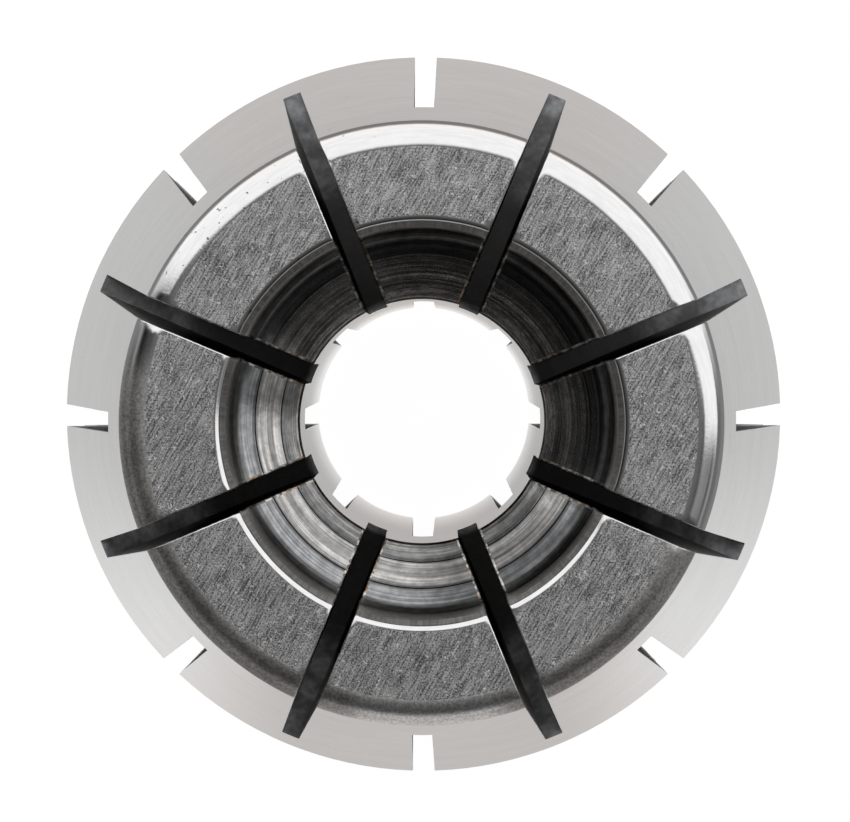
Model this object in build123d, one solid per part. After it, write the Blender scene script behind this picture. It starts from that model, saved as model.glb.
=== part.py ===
"""ER32 spring collet with a 10 mm bore, double slit, as one turned, slit and ground piece of steel.

The part stands on its nose: the front face lies in the plane z = 0, the axis is +Z and the small
end of the 8 degree seat is at the top. Every size is in millimetres and every angle in degrees.
"""

import os
from math import cos, pi, radians, sin, sqrt, tan

from build123d import *

# Overall form
overall_length = 40.0
gauge_diameter = 33.0  # large end of the seat that lies in the chuck
seat_half_angle = 8.0
seat_start = 7.2  # height of the large end of the seat above the front face

# Nose, which the clamping nut presses on, and the groove that its ring pulls the collet out by
nose_length = 3.55  # height of the nose's cone
nose_half_angle = 30.0
flange_inset = 0.55  # how far the flange lies inside the seat's large end
flange_land = 0.3  # short cylinder between the nose's cone and the groove
groove_depth = 1.35  # below the flange
groove_flank_angle = 30.0  # slope of the flange's back, from the radial plane
rim_chamfer = 0.25  # on the groove side of the seat's large end

# Rear end
rear_edge_radius = 1.1  # round from the seat into the rear face

# Bore that grips the tool, and the drilled relief behind it
bore_diameter = 10.0
bore_chamfer = 0.5  # lead-in at the front face
bore_edge_chamfer = 0.1  # at the back end of the grip
relief_step = 2.8  # how far the relief's wall lies outside the bore's
relief_depth = 5.4  # straight wall of the relief, from the rear face
relief_mouth_chamfer = 0.3
relief_root_radius = 0.6
point_angle = 118.0  # included angle of the cone that joins the relief to the bore
ledge_places = (0.36, 0.73)  # turned ledges on that cone, as shares of the way in along it
ledge_height = 0.12

# Slits, cut from both ends by one slitting saw
slits_per_end = 8
slit_width_root = 0.8  # at the closed end
front_slit_mouth = 1.05  # width at the open end: the segments are set slightly open
rear_slit_mouth = 0.95
saw_diameter = 40.0
saw_overshoot = 2.2  # how far inside the bore's wall the saw's teeth come
front_slit_web = 6.6  # metal left on the seat between a front slit and the rear face
rear_slit_web = 14.5  # metal left between a rear slit and the front face
slit_edge_break = 0.1  # chamfer along the rear slits where they cross the rear face

# Derived places
gauge_radius = gauge_diameter / 2
flange_radius = gauge_radius - flange_inset
groove_radius = flange_radius - groove_depth
nose_face_radius = flange_radius - nose_length * tan(radians(nose_half_angle))
bore_radius = bore_diameter / 2
relief_radius = bore_radius + relief_step
saw_reach = bore_radius - saw_overshoot
seat_slope = tan(radians(seat_half_angle))
cone_slope = 1 / tan(radians(point_angle / 2))  # fall of the relief's cone for each mm inwards
clear = 1.0  # how far a cutter runs past the surface that it opens


def seat_radius(z):
    """Radius of the 8 degree seat at height z."""
    return gauge_radius - (z - seat_start) * seat_slope


def outer_outline():
    """Points of the outside, from the front face up to the rear face, as (radius, height)."""
    flange_end = nose_length + flange_land
    groove_start = flange_end + groove_depth * tan(radians(groove_flank_angle))
    return [
        (nose_face_radius, 0),
        (flange_radius, nose_length),
        (flange_radius, flange_end),
        (groove_radius, groove_start),
        (groove_radius, seat_start),
        (gauge_radius, seat_start),
        (seat_radius(overall_length), overall_length),
    ]


def inner_outline():
    """Points of the inside, from the rear face down to the front face, as (radius, height)."""
    points = [(relief_radius, overall_length)]
    r, z = relief_radius, overall_length - relief_depth
    points.append((r, z))
    for place in ledge_places:
        ledge_radius = relief_radius - place * relief_step
        z -= (r - ledge_radius) * cone_slope
        points += [(ledge_radius, z), (ledge_radius, z - ledge_height)]
        r, z = ledge_radius, z - ledge_height
    z -= (r - bore_radius) * cone_slope
    points += [(bore_radius, z), (bore_radius, 0)]
    return points


def corner(face, point):
    """The face's vertex at a point of the outline."""
    return face.vertices().sort_by_distance(Vector(point[0], 0, point[1]))[0]


def turned_blank():
    """The collet before it is slit: one outline, with its corners eased, revolved."""
    outside = outer_outline()
    inside = inner_outline()
    outline = Polyline(*[(r, 0, z) for r, z in outside + inside], close=True)
    face = make_face(outline)
    for point, radius in [(outside[6], rear_edge_radius), (inside[1], relief_root_radius)]:
        face = fillet(corner(face, point), radius)
    chamfers = [
        (outside[5], rim_chamfer),
        (inside[0], relief_mouth_chamfer),
        (inside[-2], bore_edge_chamfer),
        (inside[-1], bore_chamfer),
    ]
    for point, size in chamfers:
        face = chamfer(corner(face, point), size)
    return revolve(face, Axis.Z)


def saw_cut(web_height, mouth_height, mouth_width):
    """Space that the saw sweeps in one slit over +X, from its closed end to beyond its mouth.

    web_height is where the closed end crosses the seat. The disc's centre stops short of that, so
    the slit is longer on the seat than in the bore.
    """
    saw_radius = saw_diameter / 2
    centre_x = saw_reach + saw_radius
    towards_mouth = 1 if mouth_height > web_height else -1
    rise = sqrt(saw_radius**2 - (centre_x - seat_radius(web_height)) ** 2)
    centre_z = web_height + towards_mouth * rise
    deepest_z = centre_z - towards_mouth * saw_radius
    past_mouth_z = mouth_height + towards_mouth * clear

    with BuildPart() as swept:
        with BuildSketch(Plane.XZ):
            with BuildLine():
                arc_middle = (
                    centre_x - saw_radius * cos(pi / 4),
                    centre_z - towards_mouth * saw_radius * sin(pi / 4),
                )
                ThreePointArc((saw_reach, centre_z), arc_middle, (centre_x, deepest_z))
                Polyline(
                    (centre_x, deepest_z),
                    (centre_x, past_mouth_z),
                    (saw_reach, past_mouth_z),
                    (saw_reach, centre_z),
                )
            make_face()
        extrude(amount=mouth_width, both=True)
        with BuildSketch(Plane.YZ):
            half_root = slit_width_root / 2
            half_mouth = mouth_width / 2
            with BuildLine():
                Polyline(
                    (-half_root, deepest_z),
                    (half_root, deepest_z),
                    (half_mouth, mouth_height),
                    (half_mouth, past_mouth_z),
                    (-half_mouth, past_mouth_z),
                    (-half_mouth, mouth_height),
                    close=True,
                )
            make_face()
        extrude(amount=centre_x + clear, mode=Mode.INTERSECT)
    return swept.part


def edge_break():
    """Space above a rear slit's mouth that chamfers its two edges on the rear face."""
    half = rear_slit_mouth / 2
    low_z = overall_length - slit_edge_break
    high_z = overall_length + clear
    wide = half + slit_edge_break + clear
    section = Plane.YZ * make_face(
        Polyline((-half, low_z), (half, low_z), (wide, high_z), (-wide, high_z), close=True)
    )
    return extrude(section, gauge_radius)


def around(cutter, first_angle):
    """Copies of one slit's cutter, spaced evenly about the axis."""
    step = 360 / slits_per_end
    return [Rot(0, 0, first_angle + k * step) * cutter for k in range(slits_per_end)]


def collet():
    """The blank with its front slits and, half a step round, its rear slits."""
    half_step = 180 / slits_per_end
    front = saw_cut(overall_length - front_slit_web, 0, front_slit_mouth)
    rear = saw_cut(rear_slit_web, overall_length, rear_slit_mouth)
    cutters = around(front, 0) + around(rear, half_step) + around(edge_break(), half_step)
    return turned_blank() - cutters


os.makedirs("parts", exist_ok=True)
export_step(collet(), "parts/collet.step")
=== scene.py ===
"""Double-slit ER spring collet standing on its nose, seen from straight above its small rear end."""

import math

import bpy
import numpy as np
from mathutils import Matrix, Vector
from mathutils.geometry import delaunay_2d_cdt


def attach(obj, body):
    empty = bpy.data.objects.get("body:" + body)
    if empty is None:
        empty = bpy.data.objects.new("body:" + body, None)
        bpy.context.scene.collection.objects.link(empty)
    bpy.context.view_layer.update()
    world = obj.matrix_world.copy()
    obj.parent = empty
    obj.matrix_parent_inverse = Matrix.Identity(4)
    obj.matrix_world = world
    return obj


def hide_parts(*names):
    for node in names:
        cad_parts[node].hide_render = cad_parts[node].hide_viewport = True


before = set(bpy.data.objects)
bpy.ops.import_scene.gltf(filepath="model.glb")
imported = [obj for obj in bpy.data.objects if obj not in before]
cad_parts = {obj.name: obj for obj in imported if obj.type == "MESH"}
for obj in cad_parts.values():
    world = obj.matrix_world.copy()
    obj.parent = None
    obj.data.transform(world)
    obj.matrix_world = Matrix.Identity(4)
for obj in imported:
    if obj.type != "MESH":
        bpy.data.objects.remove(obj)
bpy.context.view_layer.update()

MM = 0.001

# ---------------------------------------------------------------- the collet's section, in mm

LENGTH = 40.0
GAUGE_RADIUS = 16.5                             # large end of the seat
SEAT_START = 7.2
SEAT_SLOPE = math.tan(math.radians(8.0))
CHAMFER_RADIUS, CHAMFER_TOP = 16.25, 7.448      # where the chamfer below the seat starts and ends
NOSE_FACE_RADIUS = 13.9
NOSE_LENGTH = 3.55
FLANGE_RADIUS = 15.95
FLANGE_LAND = 0.3
GROOVE_RADIUS = 14.6
GROOVE_START = 4.63
BORE_RADIUS = 5.0
BORE_CHAMFER = 0.5
BORE_EDGE_BREAK = 0.1
RELIEF_RADIUS = 7.8
RELIEF_DEPTH = 5.4
MOUTH_WIDER, MOUTH_DEPTH = 0.28, 0.4            # chamfer at the relief's mouth
FLOOR_ANGLE = math.radians(59.0)                # between the relief's floor and the axis
LEDGE_RADII = (6.792, 5.756)                    # ledges turned in that floor
LEDGE_HEIGHT = 0.12


def seat_radius(z):
    """Radius of the long taper at height z."""
    return GAUGE_RADIUS - (z - SEAT_START) * SEAT_SLOPE


def floor_corners():
    """Corners of the relief's floor, from the first ledge in to the bore."""
    corners = []
    r, z = RELIEF_RADIUS, LENGTH - RELIEF_DEPTH
    for ledge in LEDGE_RADII:
        z -= (r - ledge) / math.tan(FLOOR_ANGLE)
        corners += [(ledge, z), (ledge, z - LEDGE_HEIGHT)]
        r, z = corners[-1]
    z -= (r - BORE_RADIUS) / math.tan(FLOOR_ANGLE)
    rise, run = BORE_EDGE_BREAK * math.cos(FLOOR_ANGLE), BORE_EDGE_BREAK * math.sin(FLOOR_ANGLE)
    return corners + [(BORE_RADIUS + run, z + rise), (BORE_RADIUS, z - BORE_EDGE_BREAK)]


FLOOR_CORNERS = floor_corners()
BORE_TOP = FLOOR_CORNERS[-1][1]
# One line a corner: radius, height, its round, then the ease of a slit's edge, the row spacing and
# the finish of the side that follows it
OUTLINE = (
    (BORE_RADIUS + BORE_CHAMFER, 0.0, 0.06, 0.045, 1.2, "ground"),
    (NOSE_FACE_RADIUS, 0.0, 0.10, 0.06, 0.6, "ground"),
    (FLANGE_RADIUS, NOSE_LENGTH, 0.10, 0.06, 0.3, "ground"),
    (FLANGE_RADIUS, NOSE_LENGTH + FLANGE_LAND, 0.10, 0.06, 0.5, "ground"),
    (GROOVE_RADIUS, GROOVE_START, 0.30, 0.06, 0.8, "ground"),
    (GROOVE_RADIUS, SEAT_START, 0.30, 0.06, 0.6, "ground"),
    (CHAMFER_RADIUS, SEAT_START, 0.06, 0.045, 0.3, "ground"),
    (seat_radius(CHAMFER_TOP), CHAMFER_TOP, 0.06, 0.045, 1.6, "ground"),
    (seat_radius(LENGTH), LENGTH, 1.10, 0.06, 0.10, "lapped"),
    (RELIEF_RADIUS + MOUTH_WIDER, LENGTH, 0.28, 0.05, 0.10, "wall"),
    (RELIEF_RADIUS, LENGTH - MOUTH_DEPTH, 0.08, 0.07, 0.30, "wall"),
    (RELIEF_RADIUS, LENGTH - RELIEF_DEPTH, 0.85, 0.05, 0.045, "cone"),
    (*FLOOR_CORNERS[0], 0.06, 0.04, 0.06, "cone"),
    (*FLOOR_CORNERS[1], 0.04, 0.04, 0.05, "cone"),
    (*FLOOR_CORNERS[2], 0.06, 0.04, 0.06, "cone"),
    (*FLOOR_CORNERS[3], 0.04, 0.04, 0.05, "cone"),
    (*FLOOR_CORNERS[4], 0.06, 0.04, 0.06, "cone"),
    (*FLOOR_CORNERS[5], 0.06, 0.04, 1.5, "bore"),
    (BORE_RADIUS, BORE_CHAMFER, 0.06, 0.045, 0.4, "bore"),
)
SEAT_SIDE, BORE_SIDE = 7, 17                    # corners that the seat and the bore follow
ROUND_FINISH = {8: "polished", 9: "polished"}   # rounds with a finish of their own, by corner
ARC_TURN = math.radians(9.0)                    # most that one facet of a large round turns
SMALL_ROUND, SMALL_ROUND_FACETS = 0.1, 3        # rounds up to this radius have so few facets

# Saw slits: the saw, the height where each kind ends on the seat, and half its width at both ends
SAW_RADIUS = 20.0
SAW_CENTRE = 22.8                # from the axis
FRONT_END_Z, REAR_END_Z = 33.4, 14.5
HALF_WIDTH_ROOT = 0.40
FRONT_HALF_MOUTH, REAR_HALF_MOUTH = 0.525, 0.475
# How far each slit was sawn off its even place, in degrees, going round from +X
FRONT_OFF = (0.0, 0.0, -0.39, -0.05, 0.14, 0.0, 0.05, 0.05)
REAR_OFF = (-0.60, -0.34, -0.20, -0.10, 0.15, -0.05, -0.25, -0.60)
COPIES = 16
SECTOR = math.tau / COPIES       # from the middle of a front slit to the middle of a rear slit

# The rear face's corners beside a slit are worn down: how wide that is, how deep, and the radii
# where it starts, is deepest and has ended, at the outer edge and at the relief's mouth
WORN_WIDTH = 0.34
WORN_CORNERS = ((0.045, 10.55, 11.05, 12.1), (0.038, 8.60, 8.20, 7.97))
WORN_REACH = 1.2                 # how far below the rear face this goes
WORN_SHOWS = 0.003               # depth from which a worn corner is bright rather than lapped

# Columns of vertices across a half sector: over the front slit, its eased edge, the plain surface,
# the worn strip, the rear slit's eased edge, over the rear slit
SLIT_COLUMNS = 2
ROUND_STEPS = 3                  # facets of an eased slit edge
FAN = 7                          # facets of the plain surface between two slits
WORN_COLUMNS = 3
BURR_COLUMNS = 1                 # columns beyond the rear slit's eased edge that a burr covers
COLUMNS = 2 * (SLIT_COLUMNS + ROUND_STEPS + 1) + FAN - 1 + WORN_COLUMNS
FIRST_ROUND = SLIT_COLUMNS
LAST_ROUND = COLUMNS - SLIT_COLUMNS - 1

FADE = 0.5                       # length over which an edge's ease fades out at a slit's end
FADE_ROWS = (0.0, 0.3, 0.6, 1.0)  # shares of that length where the seat and the bore have a row
END_ROWS = 30                    # facets along a slit's curved end
HALVINGS = 60                    # steps of the search for a slit's end
EDGE_TOLERANCE = 1e-6            # how far into a slit a point counts as still on its edge
INSIDE_ONLY, WALL_TOLERANCE = 1, 1e-7   # kind of triangulation of a slit's wall, and how exact it is
LEAST_LEAN = 1e-3                # keeps an edge's normal from vanishing where its ease has faded out
FINISHES = ("ground", "polished", "lapped", "wall", "cone", "burr", "bore", "sawn", "sawn_end")
# How uneven a slit's edge is, in mm, by the finish it is cut in
RAG = {"ground": 0.0024, "polished": 0.006, "lapped": 0.0072, "wall": 0.015, "cone": 0.018, "bore": 0.006}
SEED = 7


class Slit:
    """One of the two kinds of slit: where it cuts, how wide it is and which way it faces."""

    def __init__(self, end_on_seat, half_mouth, from_front):
        self.half_mouth, self.from_front = half_mouth, from_front
        rise = math.sqrt(SAW_RADIUS ** 2 - (SAW_CENTRE - seat_radius(end_on_seat)) ** 2)
        self.centre_z = end_on_seat + (-rise if from_front else rise)
        self.turn = 0.0 if from_front else SECTOR
        self.toward = np.array((0.0, -1.0, 0.0))
        if not from_front:
            self.toward = np.array((-math.sin(SECTOR), math.cos(SECTOR), 0.0))

    def end_z(self, x):
        """Height of the slit's curved end at distance x from the axis."""
        rise = math.sqrt(SAW_RADIUS ** 2 - (x - SAW_CENTRE) ** 2)
        return self.centre_z + (rise if self.from_front else -rise)

    def half(self, z):
        """Half the slit's width at height z."""
        along = z if self.from_front else LENGTH - z
        depth = SAW_RADIUS + (self.centre_z if self.from_front else LENGTH - self.centre_z)
        return self.half_mouth + (HALF_WIDTH_ROOT - self.half_mouth) * along / depth

    def into(self, r, z):
        """How far inside the slit a point of the section is, along the axis: negative outside."""
        return (self.end_z(r) - z) * (1.0 if self.from_front else -1.0)

    def place(self, x, y, z):
        """Point at x along the slit and y aside from its middle, on this half sector's side."""
        if self.from_front:
            return np.array((x, y, z))
        c, s = math.cos(SECTOR), math.sin(SECTOR)
        return np.array((x * c + y * s, x * s - y * c, z))

    def out_along(self, point):
        """How far out along the slit a point lies."""
        return point[0] * math.cos(self.turn) + point[1] * math.sin(self.turn)

    def end_normal(self, point):
        """Normal of the slit's curved end: towards the saw's centre."""
        outward = SAW_CENTRE - self.out_along(point)
        upward = self.centre_z - point[2]
        return np.array((outward * math.cos(self.turn), outward * math.sin(self.turn), upward))


FRONT = Slit(FRONT_END_Z, FRONT_HALF_MOUTH, from_front=True)
REAR = Slit(REAR_END_Z, REAR_HALF_MOUTH, from_front=False)


def smooth(x):
    """x held between 0 and 1 and eased at both ends."""
    x = min(max(x, 0.0), 1.0)
    return x * x * (3 - 2 * x)


def worn_depth(r, z):
    """How far a rear corner is worn down at radius r, right at the slit's edge."""
    depth = 0.0
    if z > LENGTH - WORN_REACH:
        for most, start, peak, end in WORN_CORNERS:
            rise, fall = (r - start) / (peak - start), (r - end) / (peak - end)
            if rise > 0 and fall > 0:
                depth = most * (rise ** 2 if rise < 1 else smooth(fall))
    return depth


def worn_share(column):
    """How far across the worn strip a column lies: they are closer together by the slit."""
    return (column / WORN_COLUMNS) ** 1.5


class Row:
    """A row of vertices at one place of the section: its normal, what a slit's edge is like, the wear."""

    def __init__(self, place, normal, ease, finish):
        self.r, self.z = place
        self.nr, self.nz = normal
        self.ease, self.finish = ease, finish
        self.worn = worn_depth(self.r, self.z)
        self.worn_slope = 0.0    # how fast the wear grows along the section


def corner_round(index):
    """Points along the round at a corner of the outline, with their normals."""
    corner = np.array(OUTLINE[index][:2])
    before = np.array(OUTLINE[index - 1][:2])
    after = np.array(OUTLINE[(index + 1) % len(OUTLINE)][:2])
    coming = (corner - before) / np.linalg.norm(corner - before)
    going = (after - corner) / np.linalg.norm(after - corner)
    turn = math.atan2(coming[0] * going[1] - coming[1] * going[0], float(coming @ going))
    radius, side = OUTLINE[index][2], 1.0 if turn > 0 else -1.0
    start = corner - coming * radius * math.tan(abs(turn) / 2)
    first = np.array((coming[1], -coming[0]))
    facets = SMALL_ROUND_FACETS
    if radius > SMALL_ROUND:
        facets = max(facets, math.ceil(abs(turn) / ARC_TURN))
    points = []
    for facet in range(facets + 1):
        c, s = math.cos(turn * facet / facets), math.sin(turn * facet / facets)
        normal = np.array((first[0] * c - first[1] * s, first[0] * s + first[1] * c))
        points.append((start + side * radius * (normal - first), normal))
    return points


def slit_end_heights():
    """Heights on the seat and in the bore where rows are needed: at each slit's end and as its ease fades."""
    marks = {SEAT_SIDE: [], BORE_SIDE: []}
    sides = ((SEAT_SIDE, seat_radius, SEAT_START, LENGTH),
             (BORE_SIDE, lambda z: BORE_RADIUS, BORE_CHAMFER, BORE_TOP))
    for slit in (FRONT, REAR):
        into = -1.0 if slit.from_front else 1.0
        for side, radius_at, low, high in sides:
            for _ in range(HALVINGS):
                middle = (low + high) / 2
                if (slit.into(radius_at(middle), middle) > 0) == slit.from_front:
                    low = middle
                else:
                    high = middle
            marks[side] += [low + into * FADE * share for share in FADE_ROWS]
    return marks


def section_rows():
    """Rows round the section, from the nose's bore edge outwards and back."""
    marks = slit_end_heights()
    arcs = [corner_round(i) for i in range(len(OUTLINE))]
    rows = []
    for i, (_, _, _, ease, step, finish) in enumerate(OUTLINE):
        ease_before = OUTLINE[i - 1][3]
        for k, (point, normal) in enumerate(arcs[i]):
            share = k / (len(arcs[i]) - 1)
            eased = ease_before + (ease - ease_before) * share
            rows.append(Row(point, normal, eased, ROUND_FINISH.get(i, finish)))
        rows[-1].finish = finish
        start, normal = arcs[i][-1]
        end = arcs[(i + 1) % len(OUTLINE)][0][0]
        count = max(1, math.ceil(float(np.linalg.norm(end - start)) / step))
        shares = {k / count for k in range(1, count)}
        shares |= {(z - start[1]) / (end[1] - start[1]) for z in marks.get(i, ())}
        for share in sorted(shares):
            rows.append(Row(start + (end - start) * share, normal, ease, finish))
    for before, row, after in zip(rows[-1:] + rows[:-1], rows, rows[1:] + rows[:1]):
        apart = math.dist((before.r, before.z), (after.r, after.z))
        row.worn_slope = (after.worn - before.worn) / apart
    return rows


# ---------------------------------------------------------------- one half sector as a mesh

class Patch:
    """Vertices, faces and face-corner normals of the half sector between two slits' middles."""

    def __init__(self):
        self.points, self.seam_front, self.seam_rear, self.rag, self.share = [], [], [], [], []
        self.faces, self.normals, self.finishes = [], [], []

    def point(self, place, share, on_seam=False, rag=0.0):
        """A vertex; share says how far it goes with the rear slit rather than the front one."""
        self.points.append(place)
        self.share.append(share)
        self.seam_front.append(on_seam and share == 0.0)
        self.seam_rear.append(on_seam and share == 1.0)
        self.rag.append(rag)
        return len(self.points) - 1

    def face(self, corners, normals, finish):
        """A face wound so that it looks the way its normals do."""
        p = [self.points[corner] for corner in corners]
        across = np.cross(p[1] - p[0], p[2] - p[0])
        if len(p) == 4:
            across = across + np.cross(p[2] - p[0], p[3] - p[0])
        if float(across @ sum(normals)) < 0:
            corners, normals = corners[::-1], normals[::-1]
        self.faces.append(list(corners))
        self.normals.append([normal / np.linalg.norm(normal) for normal in normals])
        self.finishes.append(finish)


def sunk(slit, row, y, depth):
    """Point y aside from a slit's middle, depth below the row's turned surface."""
    r = row.r - depth * row.nr
    return slit.place(math.sqrt(r * r - y * y), y, row.z - depth * row.nz)


def turned_normal(row, point, growth=0.0):
    """Normal of the turned surface at a point, leaning along the section as the wear there grows."""
    flat = point[:2] / np.linalg.norm(point[:2])
    lean_r, lean_z = row.nr - growth * row.nz, row.nz + growth * row.nr
    return np.array((lean_r * flat[0], lean_r * flat[1], lean_z))


def row_points(row):
    """Positions of a row's columns, and their normals without and with the slits cut through it."""
    points, cut, rims = [None] * COLUMNS, [None] * COLUMNS, []
    for slit, edge, step in ((FRONT, FIRST_ROUND, 1), (REAR, LAST_ROUND, -1)):
        half = slit.half(row.z)
        depth_scale = smooth(slit.into(row.r, row.z) / FADE)
        worn, growth, strip = (0.0, 0.0, 0) if slit is FRONT else (row.worn, row.worn_slope, WORN_COLUMNS)
        for k in range(ROUND_STEPS + 1):
            theta = math.pi / 2 * (1 - k / ROUND_STEPS)
            y = half + row.ease * (1 - math.sin(theta))
            at = edge + step * k
            points[at] = sunk(slit, row, y, worn + row.ease * depth_scale * (1 - math.cos(theta)))
            base = turned_normal(row, points[at], growth) + slit.toward * worn / WORN_WIDTH
            cut[at] = base * math.cos(theta) + slit.toward * max(depth_scale, LEAST_LEAN) * math.sin(theta)
        for k in range(1, strip + 1):
            left = 1 - worn_share(k)
            at = edge + step * (ROUND_STEPS + k)
            y = half + row.ease + WORN_WIDTH * worn_share(k)
            points[at] = sunk(slit, row, y, worn * left ** 2)
            base = turned_normal(row, points[at], growth * left ** 2)
            cut[at] = base + slit.toward * worn * left / WORN_WIDTH
        inner = points[edge + step * (ROUND_STEPS + strip)]
        rims.append(math.atan2(inner[1], inner[0]))
        for k in range(SLIT_COLUMNS):
            y = half * k / SLIT_COLUMNS
            points[edge - step * (SLIT_COLUMNS - k)] = sunk(slit, row, y, 0.0)
    first, last = FIRST_ROUND + ROUND_STEPS, LAST_ROUND - ROUND_STEPS - WORN_COLUMNS
    for at in range(first + 1, last):
        angle = rims[0] + (rims[1] - rims[0]) * (at - first) / (last - first)
        points[at] = np.array((row.r * math.cos(angle), row.r * math.sin(angle), row.z))
    plain = [turned_normal(row, point) for point in points]
    cut = [whole if opened is None else opened for whole, opened in zip(plain, cut)]
    return points, plain, cut


def row_vertices(patch, row, points):
    """Vertices of a row, with None where a slit has taken the surface away."""
    ids = []
    for at, point in enumerate(points):
        near = FRONT if at < COLUMNS // 2 else REAR
        inside = near.into(row.r, row.z)
        if (at < FIRST_ROUND or at > LAST_ROUND) and inside > EDGE_TOLERANCE:
            ids.append(None)
            continue
        on_edge = at in (FIRST_ROUND, FIRST_ROUND + 1, LAST_ROUND - 1, LAST_ROUND)
        rag = RAG[row.finish] if on_edge and inside > FADE else 0.0
        share = min(max((at - FIRST_ROUND - ROUND_STEPS) / FAN, 0.0), 1.0)
        ids.append(patch.point(point, share, at in (0, COLUMNS - 1), rag))
    return ids


def edge_finish(row, at):
    """Finish of the faces after column at where a slit cuts the row: its edges can differ from the rest."""
    beyond = LAST_ROUND - ROUND_STEPS - at
    eased = FIRST_ROUND <= at < FIRST_ROUND + ROUND_STEPS or LAST_ROUND - ROUND_STEPS <= at < LAST_ROUND
    worn = 0 < beyond <= WORN_COLUMNS and row.worn * (1 - worn_share(beyond - 0.5)) ** 2 > WORN_SHOWS
    if row.finish == "lapped" and (eased or worn):
        return "polished"
    if row.finish == "cone" and beyond <= BURR_COLUMNS and at < LAST_ROUND:
        return "burr"
    return row.finish


def half_sector():
    """The collet's skin from the middle of a front slit to the middle of the next rear slit."""
    rows = section_rows()
    patch = Patch()
    ids, plain, cut = [], [], []
    for row in rows:
        points, whole_normals, cut_normals = row_points(row)
        ids.append(row_vertices(patch, row, points))
        plain.append(whole_normals)
        cut.append(cut_normals)
    opened = {slit: [slit.into(row.r, row.z) > EDGE_TOLERANCE for row in rows] for slit in (FRONT, REAR)}
    for i, row in enumerate(rows):
        j = (i + 1) % len(rows)
        for at in range(COLUMNS - 1):
            slit = FRONT if at < COLUMNS // 2 else REAR
            is_cut = opened[slit][i] or opened[slit][j]
            if is_cut and (at < FIRST_ROUND or at >= LAST_ROUND):
                continue
            table = cut if is_cut else plain
            corners = (ids[i][at], ids[i][at + 1], ids[j][at + 1], ids[j][at])
            normals = (table[i][at], table[i][at + 1], table[j][at + 1], table[j][at])
            patch.face(corners, normals, edge_finish(row, at) if is_cut else row.finish)
    for slit, order in ((FRONT, range(FIRST_ROUND + 1)), (REAR, range(COLUMNS - 1, LAST_ROUND - 1, -1))):
        run = cut_run(opened[slit])
        across = [[ids[i][at] for at in order] for i in (run[-1], run[0])]
        steps = slit_end(patch, slit, rows[run[-1]], rows[run[0]], across)
        slit_wall(patch, slit, [ids[i][order[-1]] for i in run] + [step[-1] for step in steps])
    return patch


def cut_run(opened):
    """The rows that a slit cuts, in order, with the uncut row on either side of them."""
    count = len(opened)
    run = [next(i for i in range(count) if not opened[i] and opened[(i + 1) % count])]
    while opened[(run[-1] + 1) % count]:
        run.append((run[-1] + 1) % count)
    return run + [(run[-1] + 1) % count]


def slit_end(patch, slit, first, last, across):
    """The curved end of a slit between two rows; across holds the vertices there, from its middle out."""
    start = math.atan2(first.z - slit.centre_z, first.r - SAW_CENTRE)
    stop = math.atan2(last.z - slit.centre_z, last.r - SAW_CENTRE)
    if abs(stop - start) > math.pi:
        stop += math.copysign(math.tau, start - stop)
    steps = []
    for k in range(1, END_ROWS):
        angle = start + (stop - start) * k / END_ROWS
        x = SAW_CENTRE + SAW_RADIUS * math.cos(angle)
        z = slit.centre_z + SAW_RADIUS * math.sin(angle)
        step = []
        for column in range(SLIT_COLUMNS + 1):
            place = slit.place(x, slit.half(z) * column / SLIT_COLUMNS, z)
            step.append(patch.point(place, 0.0 if slit is FRONT else 1.0, column == 0))
        steps.append(step)
    ladder = [across[0]] + steps + [across[1]]
    for near, far in zip(ladder, ladder[1:]):
        for column in range(SLIT_COLUMNS):
            corners = (near[column], near[column + 1], far[column + 1], far[column])
            patch.face(corners, [slit.end_normal(patch.points[corner]) for corner in corners], "sawn_end")
    return steps


def slit_wall(patch, slit, rim):
    """The flat side of a slit inside its rim of vertices."""
    flat = [Vector((slit.out_along(patch.points[corner]), patch.points[corner][2])) for corner in rim]
    edges = [(k, (k + 1) % len(flat)) for k in range(len(flat))]
    made, _, triangles, origin, _, _ = delaunay_2d_cdt(flat, edges, [], INSIDE_ONLY, WALL_TOLERANCE)
    if len(made) != len(flat):
        raise RuntimeError("a slit wall's outline crosses itself")
    for triangle in triangles:
        patch.face([rim[origin[corner][0]] for corner in triangle], [slit.toward] * 3, "sawn")


# ---------------------------------------------------------------- the whole collet

def turned(points, angle):
    """Points turned about the axis, each by its own angle or all by one."""
    x, y, z = points.T
    c, s = np.cos(angle), np.sin(angle)
    return np.column_stack((x * c - y * s, x * s + y * c, z))


def spin(points, copy):
    """Half-sector vectors as they stand in one of the copies: every odd one is a mirror image."""
    out = np.array(points, dtype=float)
    if copy % 2:
        out[:, 1] *= -1
    return turned(out, SECTOR * (copy + copy % 2))


def copied_points(patch):
    """Vertices of all copies, how ragged each is, and their numbers by copy; neighbours share the seams."""
    count = len(patch.points)
    seam_front, seam_rear = np.array(patch.seam_front), np.array(patch.seam_rear)
    rag, share = np.array(patch.rag), np.array(patch.share)
    ids = np.full((COPIES, count), -1)
    points, ragged, used = [], [], 0
    for copy in list(range(0, COPIES, 2)) + list(range(1, COPIES, 2)):
        own = np.ones(count, dtype=bool)
        if copy % 2:
            own = ~(seam_front | seam_rear)
            ids[copy][seam_rear] = ids[copy - 1][seam_rear]
            ids[copy][seam_front] = ids[(copy + 1) % COPIES][seam_front]
        ids[copy][own] = np.arange(used, used + own.sum())
        used += own.sum()
        front_off = FRONT_OFF[(copy + 1) // 2 % len(FRONT_OFF)]
        rear_off = REAR_OFF[copy // 2]
        off = np.radians(front_off + (rear_off - front_off) * share)
        points.append(turned(spin(patch.points, copy), off)[own])
        ragged.append(rag[own])
    return np.concatenate(points), np.concatenate(ragged), ids


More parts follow.
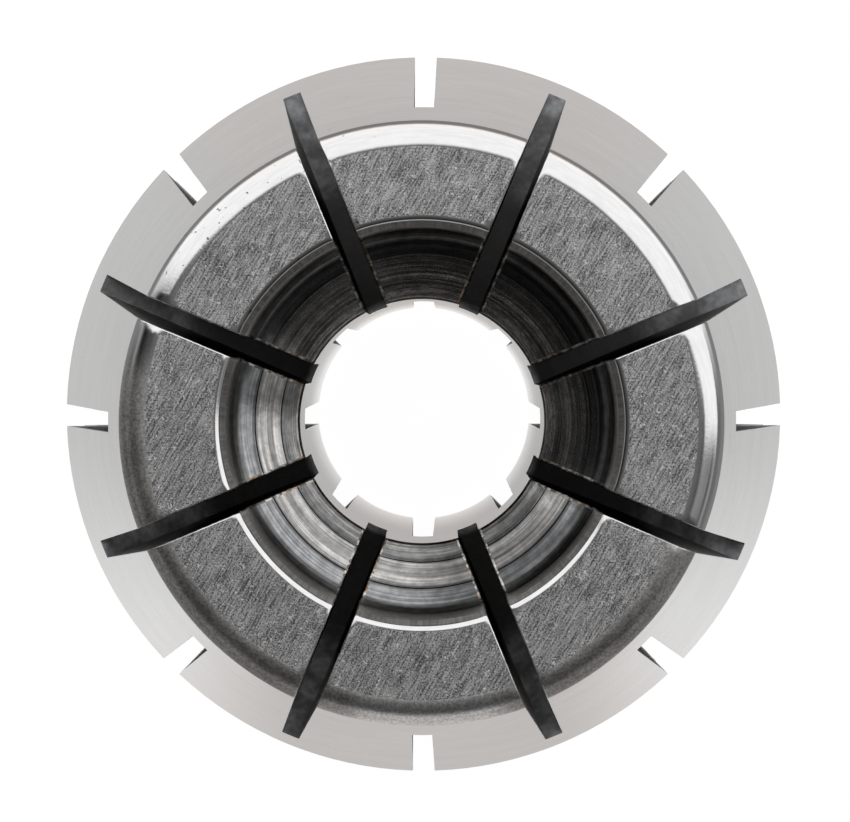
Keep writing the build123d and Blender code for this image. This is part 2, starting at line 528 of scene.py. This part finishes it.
def collet_mesh():
    """All sixteen half sectors joined into one closed skin."""
    patch = half_sector()
    points, ragged, ids = copied_points(patch)
    chance = np.random.default_rng(SEED)
    points += chance.normal(0.0, 1.0, points.shape) * ragged[:, None]
    faces, normals, finishes = [], [], []
    for copy in range(COPIES):
        order = -1 if copy % 2 else 1
        for corners, directions, finish in zip(patch.faces, patch.normals, patch.finishes):
            faces.append([int(ids[copy][corner]) for corner in corners][::order])
            normals.extend([tuple(normal) for normal in spin(directions, copy)][::order])
            finishes.append(FINISHES.index(finish))
    mesh = bpy.data.meshes.new("collet_body")
    mesh.from_pydata([tuple(point) for point in points * MM], [], faces)
    mesh.polygons.foreach_set("material_index", finishes)
    mesh.polygons.foreach_set("use_smooth", [True] * len(faces))
    mesh.update()
    mesh.normals_split_custom_set(normals)
    return mesh


# ---------------------------------------------------------------- node helpers

def node(tree, kind, inputs=None, **settings):
    """A shader node with its settings made and its inputs set or linked."""
    made = tree.nodes.new("ShaderNode" + kind)
    for name, value in settings.items():
        setattr(made, name, value)
    for name, value in (inputs or {}).items():
        socket = made.inputs[name]
        if isinstance(value, bpy.types.NodeSocket):
            tree.links.new(value, socket)
        else:
            socket.default_value = value
    return made


def maths(tree, operation, a, b=0.0):
    """Result of a Math node."""
    return node(tree, "Math", {0: a, 1: b}, operation=operation).outputs[0]


def plus(tree, a, b):
    """Sum of two values."""
    return maths(tree, "ADD", a, b)


def times(tree, a, b):
    """Product of two values."""
    return maths(tree, "MULTIPLY", a, b)


def over(tree, a, b):
    """One value divided by another."""
    return maths(tree, "DIVIDE", a, b)


def one_less(tree, value):
    """One less a value."""
    return maths(tree, "SUBTRACT", 1.0, value)


def ramp(tree, value, low, high, to_low=0.0, to_high=1.0, kind="SMOOTHSTEP"):
    """value taken from low..high to to_low..to_high, and held at the ends."""
    made = node(tree, "MapRange", {0: value, 1: low, 2: high, 3: to_low, 4: to_high}, interpolation_type=kind)
    return made.outputs[0]


def spread(tree, value, to_low=0.0, to_high=1.0):
    """A noise's usual range taken to to_low..to_high."""
    return ramp(tree, value, 0.3, 0.7, to_low, to_high)


def blend(tree, factor, a, b):
    """Value that goes from a to b."""
    return node(tree, "Mix", {"Factor": factor, "A": a, "B": b}).outputs[0]


def mix(tree, factor, a, b):
    """Colour that goes from a to b."""
    return node(tree, "Mix", {0: factor, 6: a, 7: b}, data_type="RGBA").outputs[2]


def scaled(tree, colour, scale):
    """Colour made brighter or darker."""
    return node(tree, "VectorMath", {0: colour, "Scale": scale}, operation="SCALE").outputs[0]


def tone_ramp(tree, value, stops):
    """Colour for a value, between stops of a position and a colour each."""
    made = node(tree, "ValToRGB", {"Fac": value})
    elements = made.color_ramp.elements
    for _ in range(len(stops) - len(elements)):
        elements.new(0.5)
    for element, (position, colour) in zip(elements, stops):
        element.position = position
        element.color = colour
    return made.outputs["Color"]


def rgb(red, green, blue):
    """Colour with nothing see-through."""
    return (red, green, blue, 1.0)


def grey(value):
    """Grey with nothing see-through."""
    return rgb(value, value, value)


WHITE = grey(1.0)


def toward(tree, x, y, rho, degrees):
    """Cosine of the angle round the axis between a point at distance rho and a heading."""
    angle = math.radians(degrees)
    return over(tree, plus(tree, times(tree, x, math.cos(angle)), times(tree, y, math.sin(angle))), rho)


class Point:
    """The point of an object that a material is shading, with its distance rho from the axis."""

    def __init__(self, tree):
        self.tree = tree
        self.at = node(tree, "TexCoord").outputs["Object"]
        self.x, self.y, self.z = node(tree, "SeparateXYZ", {0: self.at}).outputs
        squares = plus(tree, times(tree, self.x, self.x), times(tree, self.y, self.y))
        self.rho = maths(tree, "SQRT", squares)

    def toward(self, degrees):
        """Cosine of the angle round the axis between the point and a heading."""
        return toward(self.tree, self.x, self.y, self.rho, degrees)

    def out(self, near, far, at_near=0.0, at_far=1.0):
        """at_near up to one distance from the axis, at_far beyond another, both in mm, eased between."""
        return ramp(self.tree, self.rho, near * MM, far * MM, at_near, at_far)

    def ringed(self, slow, across):
        """Noise space in metres that changes by slow for a radian round the axis, and across the rings."""
        around = [times(self.tree, over(self.tree, side, self.rho), slow) for side in (self.x, self.y)]
        return node(self.tree, "CombineXYZ", {0: around[0], 1: around[1], 2: across}).outputs[0]


def new_material(name):
    """An empty material, its tree and the point it shades."""
    material = bpy.data.materials.new(name)
    material.use_nodes = True
    material.node_tree.nodes.clear()
    return material, material.node_tree, Point(material.node_tree)


def noise(tree, vector, scale, detail=2.0, roughness=0.5):
    """Noise with about scale features to the metre."""
    inputs = {"Vector": vector, "Scale": scale, "Detail": detail, "Roughness": roughness}
    return node(tree, "TexNoise", inputs).outputs["Fac"]


def bump(tree, height, distance):
    """Normal of a surface with this relief on it."""
    return node(tree, "Bump", {"Height": height, "Distance": distance, "Strength": 1.0}).outputs[0]


def metal(tree, colour, roughness, normal, anisotropic=0.0, metallic=1.0):
    """Steel shader joined to the material's output; grime lowers how metallic it is."""
    inputs = {"Base Color": colour, "Metallic": metallic, "Roughness": roughness, "Normal": normal}
    if anisotropic:
        inputs["Anisotropic"] = anisotropic
        inputs["Tangent"] = node(tree, "Tangent", direction_type="RADIAL", axis="Z").outputs[0]
    shader = node(tree, "BsdfPrincipled", inputs)
    node(tree, "OutputMaterial", {"Surface": shader.outputs[0]})


# ---------------------------------------------------------------- finishes

FINE = 9000.0                    # features to the metre in grinding, boring and polishing marks
RINGS_SLOW = 0.6 * MM            # how slowly such marks change along a ring
# Headings round the axis, in degrees from +X: the rear edge's film of grime, the cleaner part of it,
# which also has a painted reflection, the pits in that edge, the part of the relief's fillet with painted
# shade, and the side of the slits' ends that painted light brightens
FILM, CLEAN_PAINTED_REFLECTION, PITTED, FILLET_PAINTED_SHADE, PAINTED_LIGHT_SIDE = 253.0, 271.0, 128.0, 65.0, 235.0


def ground():
    """Seat, nose and groove: fine-ground, satin, with faint clouding and a few specks."""
    material, tree, point = new_material("steel_ground")
    cloud = noise(tree, point.at, 260.0, detail=3.0)
    lines = noise(tree, point.ringed(RINGS_SLOW, point.z), FINE)
    specks = noise(tree, point.at, 2600.0, detail=1.0)
    colour = mix(tree, ramp(tree, cloud, 0.35, 0.65), rgb(0.585, 0.575, 0.565), rgb(0.615, 0.61, 0.602))
    colour = mix(tree, ramp(tree, specks, 0.745, 0.79), colour, rgb(0.42, 0.38, 0.35))
    metal(tree, colour, spread(tree, lines, 0.20, 0.24), bump(tree, lines, 0.0005 * MM), anisotropic=0.3)
    return material


def polished():
    """Rolled-over rear edge and relief mouth: smooth, but dulled by handling round one side, with a cleaner,
    brighter patch that is a painted reflection.
    """
    material, tree, point = new_material("steel_polished")
    grain = noise(tree, point.at, FINE, detail=3.0)
    patches = noise(tree, point.at, 330.0, detail=3.0)
    scuffs = noise(tree, point.ringed(0.8 * MM, point.z), 17000.0)
    # a cleaner patch of the film, where a thinner film meets a painted reflection
    clean_painted_sheen = ramp(tree, point.toward(CLEAN_PAINTED_REFLECTION), 0.955, 0.985)
    film = ramp(tree, point.toward(FILM), -0.02, 0.22)
    film = times(tree, film, one_less(tree, times(tree, clean_painted_sheen, 0.25)))
    film = times(tree, film, point.out(9.5, 10.0))
    bare = mix(tree, spread(tree, scuffs), rgb(0.605, 0.605, 0.607), grey(0.65))
    stain = mix(tree, ramp(tree, patches, 0.35, 0.65), rgb(0.38, 0.37, 0.365), rgb(0.52, 0.50, 0.48))
    # painted reflection: the stain turns bright in the cleaner patch
    stain = mix(tree, clean_painted_sheen, stain, rgb(0.80, 0.785, 0.775))
    colour = mix(tree, film, bare, scaled(tree, stain, spread(tree, grain, 0.7, 1.3)))
    pits = ramp(tree, noise(tree, point.at, 4200.0, detail=1.0), 0.70, 0.74)
    pits = times(tree, pits, ramp(tree, point.toward(PITTED), 0.85, 0.97))
    colour = mix(tree, pits, colour, rgb(0.16, 0.155, 0.15))
    roughness = plus(tree, times(tree, grain, 0.06), times(tree, film, 0.26))
    metal(tree, colour, plus(tree, roughness, 0.09), bump(tree, grain, 0.0015 * MM))
    return material


def lapped():
    """Rear face: rubbed on a stone, so covered in short fine scratches, with brighter nicks."""
    material, tree, point = new_material("steel_lapped")
    stroke = {"Vector": point.at, "Rotation": (0.0, 0.0, math.radians(60.0)), "Scale": (12.0, 1.0, 1.0)}
    along = node(tree, "Mapping", stroke, vector_type="TEXTURE").outputs[0]
    streaks = noise(tree, along, 12500.0, roughness=0.7)
    grain = noise(tree, point.at, 15000.0, detail=3.0, roughness=0.7)
    cloud = noise(tree, point.at, 700.0, detail=4.0, roughness=0.6)
    curl = maths(tree, "ABSOLUTE", maths(tree, "SUBTRACT", noise(tree, point.at, 4200.0), 0.5))
    elsewhere = node(tree, "Mapping", {"Vector": point.at, "Location": (0.3, 0.1, 0.0)}).outputs[0]
    gathered = ramp(tree, noise(tree, elsewhere, 2600.0), 0.55, 0.67)
    nicks = times(tree, ramp(tree, curl, 0.0, 0.045, 1.0, 0.0), gathered)
    specks = ramp(tree, noise(tree, point.at, 7000.0, detail=1.0), 0.68, 0.73)
    nicks = maths(tree, "MAXIMUM", nicks, specks)
    height = plus(tree, times(tree, streaks, 0.42), times(tree, grain, 0.58))
    tone = plus(tree, times(tree, height, 0.87), times(tree, cloud, 0.13))
    colour = mix(tree, ramp(tree, tone, 0.40, 0.60), rgb(0.10, 0.098, 0.10), rgb(0.69, 0.68, 0.68))
    colour = mix(tree, nicks, colour, rgb(0.85, 0.85, 0.86))
    bare = one_less(tree, times(tree, nicks, 0.6))
    metal(tree, colour, spread(tree, grain, 0.24, 0.40), bump(tree, height, 0.02 * MM), metallic=bare)
    return material


def wall():
    """Relief's side: bored, dull and a little brown, with fine marks down it."""
    material, tree, point = new_material("steel_wall")
    rings = noise(tree, point.ringed(RINGS_SLOW, point.z), FINE)
    down = noise(tree, point.ringed(RELIEF_RADIUS * MM, times(tree, point.z, 0.1)), FINE, detail=3.0)
    colour = mix(tree, spread(tree, down), rgb(0.32, 0.31, 0.295), rgb(0.50, 0.485, 0.47))
    metal(tree, colour, spread(tree, rings, 0.36, 0.46), bump(tree, rings, 0.006 * MM))
    return material


# Tones of the relief's floor at its turned features: radius in mm, reflectance and warmth. The dark
# feet of the ledges are painted shade, the bright bore edge and turning above the inner ledge painted
# highlights
FLOOR_TONES = (
    (5.05, 0.42, 0.03),      # broken edge of the bore, a painted highlight
    (5.15, 0.22, 0.02),      # lowest stretch
    (5.55, 0.22, 0.0),
    (5.70, 0.10, 0.0),       # foot of the inner ledge, painted shade
    (5.95, 0.45, 0.02),      # brightest turning, above that ledge, a painted highlight
    (6.15, 0.31, 0.03),      # middle stretch
    (6.60, 0.31, 0.03),
    (6.80, 0.12, 0.0),       # foot of the outer ledge, painted shade
    (6.95, 0.19, -0.02),     # highest stretch
    (7.25, 0.19, -0.02),
    (7.80, 0.45, 0.0),       # fillet
)
TONES_FROM, TONES_TO = 4.9, 7.9
TONES_WANDER = 0.09              # how far they waver, in mm
# Painted light and shade on the relief's floor, duller or brighter by heading: heading, cosines from it
# where the change starts and is full, share of the light there
CONE_PAINTED_LIGHT = ((302.0, 0.78, 0.97, 0.45), (135.0, 0.75, 0.97, 2.0), (350.0, 0.85, 0.98, 1.8))


def cone():
    """Relief's floor: turned, with rings of light and dark that waver a little, some of them painted shade
    and highlights, and painted light and shade by heading.
    """
    material, tree, point = new_material("steel_turned")
    waver = maths(tree, "SUBTRACT", noise(tree, point.at, 420.0), 0.5)
    wavered = plus(tree, point.rho, times(tree, waver, TONES_WANDER * MM))
    place = ramp(tree, wavered, TONES_FROM * MM, TONES_TO * MM, kind="LINEAR")
    stops = []
    for radius, tone, warmth in FLOOR_TONES:
        colour = rgb(tone * (1 + warmth), tone, tone * (1 - warmth))
        stops.append(((radius - TONES_FROM) / (TONES_TO - TONES_FROM), colour))
    tones = tone_ramp(tree, place, stops)
    turning = noise(tree, point.ringed(0.05 * MM, wavered), 5500.0, detail=1.0)
    fine = noise(tree, point.ringed(0.1 * MM, point.rho), 12000.0, roughness=0.6)
    blotch = noise(tree, point.at, 2600.0, detail=3.0, roughness=0.6)
    scale = times(tree, spread(tree, fine, 0.6, 1.4), spread(tree, blotch, 0.8, 1.2))
    scale = times(tree, scale, spread(tree, turning, 0.75, 1.25))
    # painted light and shade round the relief, by heading
    for heading, low, high, share in CONE_PAINTED_LIGHT:
        scale = times(tree, scale, ramp(tree, point.toward(heading), low, high, 1.0, share))
    # painted shade over part of the fillet, on one side of the relief
    fillet = point.out(7.12, 7.28)
    fillet = times(tree, fillet, ramp(tree, point.toward(FILLET_PAINTED_SHADE), -0.45, 0.05))
    scale = times(tree, scale, one_less(tree, times(tree, fillet, 0.68)))
    roughness = point.out(7.0, 7.6, 0.17, 0.34)
    height = plus(tree, times(tree, fine, 0.3), blotch)
    metal(tree, scaled(tree, tones, scale), roughness, bump(tree, height, 0.005 * MM))
    return material


def burr():
    """Torn edges that the saw left along the relief: bright where bent over, rusty in places."""
    material, tree, point = new_material("steel_burr")
    crumbs = noise(tree, point.at, 4200.0, roughness=0.6)
    patches = noise(tree, point.at, 1300.0, detail=1.0)
    bent = mix(tree, ramp(tree, crumbs, 0.42, 0.60), rgb(0.15, 0.145, 0.14), rgb(0.66, 0.64, 0.61))
    rust = mix(tree, ramp(tree, crumbs, 0.35, 0.65), rgb(0.16, 0.11, 0.08), rgb(0.52, 0.38, 0.29))
    colour = mix(tree, ramp(tree, patches, 0.55, 0.62), bent, rust)
    metal(tree, colour, 0.38, bump(tree, crumbs, 0.02 * MM))
    return material


def bore():
    """Bore that holds the tool: honed, even and pale, palest at its far end by painted light."""
    material, tree, point = new_material("steel_honed")
    hone = noise(tree, point.ringed(1.0 * MM, point.z), 4000.0)
    # painted light: near white at the open far end, darker deeper in
    colour = mix(tree, ramp(tree, point.z, 0.0, 22.0 * MM), rgb(1.0, 0.985, 0.97), rgb(0.45, 0.435, 0.415))
    metal(tree, scaled(tree, colour, spread(tree, hone, 0.95, 1.05)), 0.24, bump(tree, hone, 0.002 * MM))
    return material


def dull_dark(name, tones, mottle, metallic, roughness, painted_light_share=1.0):
    """Sawn steel with painted shade deep between the segments and out at the seat's edge, and painted light
    toward one side; tones are those at the bore, within, out by the seat.
    """
    material, tree, point = new_material(name)
    marks = noise(tree, point.at, 3500.0, detail=3.0)
    blots = ramp(tree, noise(tree, point.at, 900.0), 0.35, 0.65, 1 - mottle, 1 + mottle)
    scale = times(tree, spread(tree, marks, 0.8, 1.2), blots)
    # painted shade out at the seat's edge
    scale = times(tree, scale, point.out(13.8, 15.8, 1.0, 0.6))
    # painted light toward one side
    scale = times(tree, scale, ramp(tree, point.toward(PAINTED_LIGHT_SIDE), 0.0, 0.7, 1.0, painted_light_share))
    # the tone within is painted shade deep between the segments
    colour = mix(tree, point.out(5.0, 5.4), tones[0], tones[1])
    colour = mix(tree, point.out(9.6, 11.6), colour, tones[2])
    metal(tree, scaled(tree, colour, scale), roughness, bump(tree, marks, 0.01 * MM), metallic=metallic)
    return material


def sawn():
    """Side walls of the slits."""
    # the dark tones at the bore and within are painted shade between the segments
    tones = (grey(0.016), grey(0.016), rgb(0.42, 0.415, 0.41))
    return dull_dark("steel_sawn", tones, mottle=0.2, metallic=1.0, roughness=0.40)


def sawn_end():
    """Curved closed ends of the slits, grimy and so not metallic."""
    # the pale tone at the bore is painted light, the dark one within painted shade; one side is brightened by
    # painted light
    tones = (grey(0.7), grey(0.020), rgb(0.27, 0.275, 0.285))
    return dull_dark("steel_sawn_end", tones, mottle=0.4, metallic=0.0, roughness=0.5, painted_light_share=2.0)


# ---------------------------------------------------------------- stage

# A wide soft light on one side. Directions are told by cosines from a heading and by the sine of the
# elevation; two numbers are where a change starts and where it is complete
SOFTBOX_HEADING = 75.0
SOFTBOX_LEVEL = 1.40
SOFTBOX_SIDES = (0.12, 0.26)
SOFTBOX_SHOULDERS = (0.25, 0.5)  # where its top rises
SOFTBOX_TOP = (0.88, 0.988)      # elevation of its top at the sides and over the middle
SOFTBOX_TOP_EDGE = (-0.03, 0.012)
SOFTBOX_WEST, SOFTBOX_WEST_SHARE = (-0.95, -0.84), 0.25   # its west end, and how much of its light is there
# Dim part of the room: sine of the elevation and the light from there
ROOM = ((0.0, 0.48), (0.12, 0.38), (0.26, 0.14), (0.38, 0.014), (0.56, 0.018), (0.70, 0.06), (0.88, 0.08),
        (0.985, 0.17), (1.0, 0.18))
SOUTH = (-0.99, -0.88)           # measured from north
HORIZON_LEVEL = 0.30             # more light low down in the south
HORIZON_TOP = (0.02, 0.50)
GLOW_HEADING, GLOW_LEVEL = 350.0, 0.28
GLOW_SIDES, GLOW_BOTTOM, GLOW_TOP = (0.93, 0.99), (0.28, 0.42), (0.80, 0.92)
POLE = 1e-6                      # keeps headings finite straight up and down

FLOOR_RADIUS = 9.0
FLOOR_SIDES = 64
FLOOR_LEVEL = 0.985              # what the camera sees
FLOOR_DIFFUSE = 0.06             # how much the shadow takes from that
# What metal sees of the floor: around the collet, with more in two lobes toward the south; in the
# bore's mouth, with less on its south side; then further out and far out, with more in the south
NEAR_LEVEL, LOBE_LEVEL = 0.65, 0.26
UNDER_LEVEL, UNDER_SOUTH_LEVEL = 0.88, 0.66
MIDDLE_LEVEL, MIDDLE_SOUTH_LEVEL = 0.28, 0.60
FAR_SOUTH_LEVEL = 0.5
# Distances from the axis between which those parts of the floor change over
MOUTH_EDGE, UNDER_EDGE, NEAR_EDGE, MIDDLE_EDGE = (4.5, 5.0), (6.0, 7.0), (26.0, 32.0), (70.0, 140.0)

CAMERA_PLACE = (0.50, 2.48, 232.0)
CAMERA_TARGET = (0.07, 0.15, 7.2)
SENSOR_WIDTH, FOCAL_LENGTH = 36.0, 206.09
CAMERA_NEAR, CAMERA_FAR = 0.01, 100.0            # metres


def world_light():
    """A wide soft light on one side, a dimmer sky above and a dark room opposite."""
    world = bpy.data.worlds.new("studio")
    bpy.context.scene.world = world
    world.use_nodes = True
    tree = world.node_tree
    tree.nodes.clear()
    x, y, z = node(tree, "SeparateXYZ", {0: node(tree, "TexCoord").outputs["Generated"]}).outputs
    across = maths(tree, "SQRT", maths(tree, "MAXIMUM", one_less(tree, times(tree, z, z)), POLE))
    aim = toward(tree, x, y, across, SOFTBOX_HEADING)
    top = ramp(tree, aim, *SOFTBOX_SHOULDERS, *SOFTBOX_TOP)
    below = ramp(tree, maths(tree, "SUBTRACT", z, top), *SOFTBOX_TOP_EDGE, 1.0, 0.0)
    lit = times(tree, ramp(tree, aim, *SOFTBOX_SIDES), below)
    low = ramp(tree, over(tree, y, across), *SOUTH, 1.0, 0.0)
    low = times(tree, low, ramp(tree, z, *HORIZON_TOP, 1.0, 0.0))
    glow = times(tree, ramp(tree, z, *GLOW_BOTTOM), ramp(tree, z, *GLOW_TOP, 1.0, 0.0))
    glow = times(tree, ramp(tree, toward(tree, x, y, across, GLOW_HEADING), *GLOW_SIDES), glow)
    room = tone_ramp(tree, z, [(sine, grey(level)) for sine, level in ROOM])
    room = plus(tree, room, times(tree, low, HORIZON_LEVEL))
    room = plus(tree, room, times(tree, glow, GLOW_LEVEL))
    soft = ramp(tree, over(tree, x, across), *SOFTBOX_WEST, SOFTBOX_WEST_SHARE, 1.0)
    level = blend(tree, lit, room, times(tree, soft, SOFTBOX_LEVEL))
    camera = node(tree, "LightPath").outputs["Is Camera Ray"]
    level = plus(tree, times(tree, level, one_less(tree, camera)), camera)
    light = node(tree, "Background", {"Color": WHITE, "Strength": level})
    node(tree, "OutputWorld", {"Surface": light.outputs[0]})


def floor_material():
    """White to the camera, with a faint shadow. Metal sees it bright close by and darker further out."""
    material, tree, point = new_material("studio_floor")
    east, north = over(tree, point.x, point.rho), over(tree, point.y, point.rho)
    side = maths(tree, "ABSOLUTE", east)
    lobes = times(tree, maths(tree, "MAXIMUM", times(tree, north, -2.0), 0.0), side)
    lobes = times(tree, maths(tree, "POWER", lobes, 1.5), ramp(tree, side, 0.3, 0.8))
    near = plus(tree, NEAR_LEVEL, times(tree, lobes, LOBE_LEVEL))
    hole = point.out(*MOUTH_EDGE, UNDER_SOUTH_LEVEL, UNDER_LEVEL)
    under = blend(tree, ramp(tree, north, -0.4, 0.5), hole, UNDER_LEVEL)
    near = blend(tree, point.out(*UNDER_EDGE), under, near)
    middle = ramp(tree, north, *SOUTH, MIDDLE_SOUTH_LEVEL, MIDDLE_LEVEL)
    far = ramp(tree, north, 0.0, 0.6, 0.2, 1.5)
    far = times(tree, far, ramp(tree, east, -0.98, -0.80, 0.3, 1.0))
    far_south = times(tree, ramp(tree, north, *SOUTH, 1.0, 0.0), FAR_SOUTH_LEVEL)
    far = maths(tree, "MAXIMUM", far, far_south)
    level = blend(tree, point.out(*NEAR_EDGE), near, middle)
    level = blend(tree, point.out(*MIDDLE_EDGE), level, far)
    tint = mix(tree, ramp(tree, side, 0.45, 0.85), rgb(1.0, 0.955, 0.93), WHITE)
    mirrored = node(tree, "Emission", {"Color": tint, "Strength": level}).outputs[0]
    shown = node(tree, "Emission", {"Color": WHITE, "Strength": FLOOR_LEVEL}).outputs[0]
    shaded = node(tree, "BsdfDiffuse", {"Color": grey(FLOOR_DIFFUSE)}).outputs[0]
    seen = node(tree, "AddShader", {0: shown, 1: shaded}).outputs[0]
    glossy = node(tree, "LightPath").outputs["Is Glossy Ray"]
    shader = node(tree, "MixShader", {0: glossy, 1: seen, 2: mirrored})
    node(tree, "OutputMaterial", {"Surface": shader.outputs[0]})
    return material


def add_object(name, data):
    """An object in the scene."""
    made = bpy.data.objects.new(name, data)
    bpy.context.scene.collection.objects.link(made)
    return made


def make_floor():
    """A round floor that reaches beyond all that the metal reflects."""
    turns = [math.tau * side / FLOOR_SIDES for side in range(FLOOR_SIDES)]
    mesh = bpy.data.meshes.new("floor")
    corners = [(FLOOR_RADIUS * math.cos(turn), FLOOR_RADIUS * math.sin(turn), 0.0) for turn in turns]
    mesh.from_pydata(corners, [], [list(range(FLOOR_SIDES))])
    floor = add_object("floor", mesh)
    mesh.materials.append(floor_material())


def make_camera():
    """The photograph's view: nearly straight down, with north at its top."""
    data = bpy.data.cameras.new("camera")
    data.sensor_width, data.lens = SENSOR_WIDTH, FOCAL_LENGTH
    data.clip_start, data.clip_end = CAMERA_NEAR, CAMERA_FAR
    camera = add_object("camera", data)
    place, target = Vector(CAMERA_PLACE) * MM, Vector(CAMERA_TARGET) * MM
    back = (place - target).normalized()
    right = Vector((0.0, 1.0, 0.0)).cross(back).normalized()
    up = back.cross(right)
    camera.matrix_world = Matrix.LocRotScale(place, Matrix((right, up, back)).transposed(), None)
    bpy.context.scene.camera = camera


# ---------------------------------------------------------------- making it all

def make_collet():
    """The collet with its finishes, in the order that FINISHES gives."""
    mesh = collet_mesh()
    body = add_object("collet_body", mesh)
    for maker in (ground, polished, lapped, wall, cone, burr, bore, sawn, sawn_end):
        mesh.materials.append(maker())
    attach(body, "root")
    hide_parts("collet")


make_camera()
world_light()
make_floor()
make_collet()
bpy.context.scene.view_settings.view_transform = "Standard"
